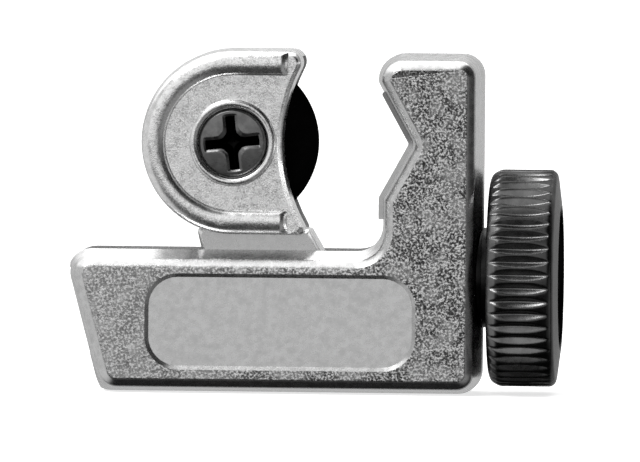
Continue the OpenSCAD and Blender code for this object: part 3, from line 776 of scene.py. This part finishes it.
def feed_screw():
    """A turned profile whose threaded stretch loses a triangle wave that climbs one pitch a turn. The
    wave is cut off flat at the crests and the roots, and runs out before the collar."""
    rivet_x = KNOB_END - DISH_DEPTH / 2
    outline = [
        (FEED_X, CENTRE_R),
        (FEED_X, THREAD_R - 0.5 * MM),
        (FEED_X + 0.5 * MM, THREAD_R),
        (COLLAR_X - 0.5 * MM, THREAD_R),
        (COLLAR_X, THREAD_R - 0.3 * MM),
        (COLLAR_X, COLLAR_R),
        (COLLAR_END, COLLAR_R),
        (COLLAR_END, JOURNAL_R),
        (KNOB_X, JOURNAL_R),
        (KNOB_X, SPIGOT_R),
        (rivet_x, SPIGOT_R),
        (rivet_x, RIVET_R),
        (rivet_x + 0.35 * MM, RIVET_R - 0.3 * MM),
        (FEED_END, 1.2 * MM),
        (FEED_END, CENTRE_R),
    ]
    places, radii = turned_profile(outline, FEED_SOFTNESS, FEED_STEP)
    turns = full_turn(FEED_POINTS)
    run_out = smoothstep(COLLAR_X - RUN_OUT_END, COLLAR_X - RUN_OUT_START, places)
    wave = thread_wave(places, turns, THREAD_PITCH)
    wave = np.clip(wave * THREAD_STEEPNESS - THREAD_FLAT, 0, 1)
    radii = np.maximum(radii - THREAD_DEPTH * wave * run_out, CENTRE_R)
    grid = round_x(places, radii, turns, SCREW_Z)
    return weighted_normals(closed_rings("feed_screw_threaded", grid))


LINE_SIZE = 0.12 * MM
LINE_BAND = (0.35, 0.65)
LINE_SHARES = (0.82, 1.1)
LINE_STRENGTH = 0.6


def turned_steel(name, colour, roughness, stretch, relief):
    """Turned steel: fine noise, which a stretch of more than 1 along an axis squeezes into lines across
    it."""
    f = Finish(name, 1.0)
    lines = f.noise(LINE_SIZE, roughness=0.6, stretch=stretch)
    tone = f.greys(f.ranged(lines, *LINE_BAND), colour, LINE_SHARES)
    rough = f.clouds(0.9 * MM, 2.0, roughness - 0.05, roughness + 0.08)
    return f.finish(tone, rough, f.bump(lines, relief, LINE_STRENGTH))


BRIGHT_STEEL = turned_steel("bright_turned_steel", 0.5, 0.24, (12, 1, 1), 0.003 * MM)
DARK_STEEL = turned_steel("phosphated_steel", 0.03, 0.36, (1, 1, 1), 0.003 * MM)
PIN_STEEL = turned_steel("bright_pin_steel", 0.55, 0.22, (1, 4, 1), 0.002 * MM)
dress(feed_screw(), "spindle", BRIGHT_STEEL, "bright_steel", "feed_screw")
for node_name, steel in (("stop_pin", PIN_STEEL), ("thrust_washer", DARK_STEEL)):
    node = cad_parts[node_name]
    node.data.materials.clear()
    node.data.materials.append(steel)


# Stage: floor, sky, lamp and camera

FLOOR_HALF = 6.0
FLOOR_DROP = 0.02 * MM
FLOOR_TONE = 0.8
FLOOR_GLOW = 0.7

# Each panel of light has the direction of its middle, the cosines of the angles from that middle at
# which the light ends and is full, and its strength
PANELS = {
    "above": ((-0.4, 0.28, 0.88), 0.6, 0.87, 1.9),
    "left": ((-0.97, 0, -0.15), 0.45, 0.8, 0.8),
    "behind": ((0, 0.97, 0.26), 0.25, 0.85, 0.78),
    "behind on the right": ((0.75, 0.66, 0), 0.8, 0.97, 0.45),
    "low on the right": ((0.7, -0.5, -0.5), 0.7, 0.95, 0.3),
    "low in front": ((-0.1, -0.8, -0.55), 0.6, 0.9, 0.05),
    "high behind": ((0, 0.5, 0.87), 0.8, 0.97, 3.2),
}
FRONT_PANEL = ((-0.3, -1, 0.2), 0.72, 0.92, 1.15)
FRONT_ENDS = (-0.24, 0.0)
SKY_LEAST = 0.02

KEY_PLACE = Vector((-0.35, -0.45, 0.75))
KEY_AIM = Vector((0, 0, 0.015))
KEY_SIZE = 0.35
KEY_POWER = 3.2


def light_path(tree, *kinds):
    """1 for a ray of any of the named kinds, and 0 for the rest."""
    path = tree.nodes.new("ShaderNodeLightPath")
    total = path.outputs[kinds[0]]
    for kind in kinds[1:]:
        total = maths(tree, "MAXIMUM", total, path.outputs[kind])
    return total


def pale_floor():
    """A wide pale sheet just under the tool, which glows for camera rays alone and isn't seen in the
    metal."""
    mesh = bpy.data.meshes.new("floor")
    signs = ((-1, -1), (1, -1), (1, 1), (-1, 1))
    corners = [(FLOOR_HALF * a, FLOOR_HALF * b, -FLOOR_DROP) for a, b in signs]
    mesh.from_pydata(corners, [], [(0, 1, 2, 3)])
    floor = bpy.data.objects.new("floor", mesh)
    floor.visible_glossy = False
    bpy.context.scene.collection.objects.link(floor)
    material = bpy.data.materials.new("pale_floor")
    material.use_nodes = True
    tree = material.node_tree
    tree.nodes.clear()
    diffuse = tree.nodes.new("ShaderNodeBsdfDiffuse")
    diffuse.inputs["Color"].default_value = grey(FLOOR_TONE)
    glow = tree.nodes.new("ShaderNodeEmission")
    glow.inputs["Color"].default_value = grey(1.0)
    strength = maths(tree, "MULTIPLY", light_path(tree, "Is Camera Ray"), FLOOR_GLOW)
    feed(tree, glow.inputs["Strength"], strength)
    both = tree.nodes.new("ShaderNodeAddShader")
    feed(tree, both.inputs[0], diffuse.outputs[0])
    feed(tree, both.inputs[1], glow.outputs[0])
    output = tree.nodes.new("ShaderNodeOutputMaterial")
    feed(tree, output.inputs["Surface"], both.outputs[0])
    mesh.materials.append(material)


def studio_sky():
    """Soft panels in a dark studio. The front panel ends a little below the level of the tool, as over
    a table's front edge. The brightest panel wins where they meet, and camera rays and those through
    glass see white."""
    world = bpy.data.worlds.new("studio")
    bpy.context.scene.world = world
    world.use_nodes = True
    tree = world.node_tree
    tree.nodes.clear()
    direction = tree.nodes.new("ShaderNodeTexCoord").outputs["Generated"]

    def panel(axis, end, full, strength):
        """Light that grows toward one direction, by the cosine of the angle from it."""
        near = vector_maths(tree, "DOT_PRODUCT", direction, Vector(axis).normalized()).outputs["Value"]
        return ramp(tree, near, end, full, 0.0, strength)

    above_table = ramp(tree, vector_part(tree, direction, "Z"), *FRONT_ENDS)
    lit = maths(tree, "MULTIPLY", panel(*FRONT_PANEL), above_table)
    for given in PANELS.values():
        lit = maths(tree, "MAXIMUM", lit, panel(*given))
    lit = maths(tree, "MAXIMUM", lit, SKY_LEAST)
    shown = maths(tree, "MAXIMUM", lit, light_path(tree, "Is Camera Ray", "Is Transmission Ray"))
    background = tree.nodes.new("ShaderNodeBackground")
    feed(tree, background.inputs["Strength"], shown)
    output = tree.nodes.new("ShaderNodeOutputWorld")
    feed(tree, output.inputs["Surface"], background.outputs[0])


def key_softbox():
    """One square lamp above, in front and to the left, turned toward the tool."""
    lamp = bpy.data.lights.new("key", "AREA")
    lamp.shape = "RECTANGLE"
    lamp.size = KEY_SIZE
    lamp.size_y = KEY_SIZE
    lamp.energy = KEY_POWER
    holder = bpy.data.objects.new("key", lamp)
    holder.location = KEY_PLACE
    holder.rotation_mode = "QUATERNION"
    holder.rotation_quaternion = (KEY_AIM - KEY_PLACE).to_track_quat("-Z", "Y")
    bpy.context.scene.collection.objects.link(holder)


PIXELS_ACROSS = 640
MM_PER_PIXEL = 0.1059
CAMERA_DISTANCE = 1.8
CAMERA_AZIMUTH = math.radians(3.3)
CAMERA_ELEVATION = math.radians(2.2)
CAMERA_ROLL = math.radians(0.5)
CAMERA_NEAR = 0.1
CAMERA_FAR = 50
AIM = Vector((0.52, -4.0, 17.2)) * MM
SENSOR = 36.0


def photo_camera():
    """A long lens far off, so that the view is nearly parallel, as in the photograph. Its place is the
    aim, moved back along the direction that the azimuth and the elevation give."""
    data = bpy.data.cameras.new("camera")
    data.sensor_width = SENSOR
    data.lens = SENSOR * CAMERA_DISTANCE / (PIXELS_ACROSS * MM_PER_PIXEL * MM)
    data.clip_start = CAMERA_NEAR
    data.clip_end = CAMERA_FAR
    camera = bpy.data.objects.new("camera", data)
    level = math.cos(CAMERA_ELEVATION)
    sideways = math.sin(CAMERA_AZIMUTH) * level
    forward = -math.cos(CAMERA_AZIMUTH) * level
    back = Vector((sideways, forward, math.sin(CAMERA_ELEVATION)))
    camera.location = AIM + back * CAMERA_DISTANCE
    camera.rotation_mode = "QUATERNION"
    roll = Quaternion((0, 0, 1), CAMERA_ROLL)
    camera.rotation_quaternion = (-back).to_track_quat("-Z", "Y") @ roll
    bpy.context.scene.collection.objects.link(camera)
    bpy.context.scene.camera = camera


pale_floor()
studio_sky()
key_softbox()
photo_camera()
bpy.context.scene.view_settings.view_transform = "Standard"
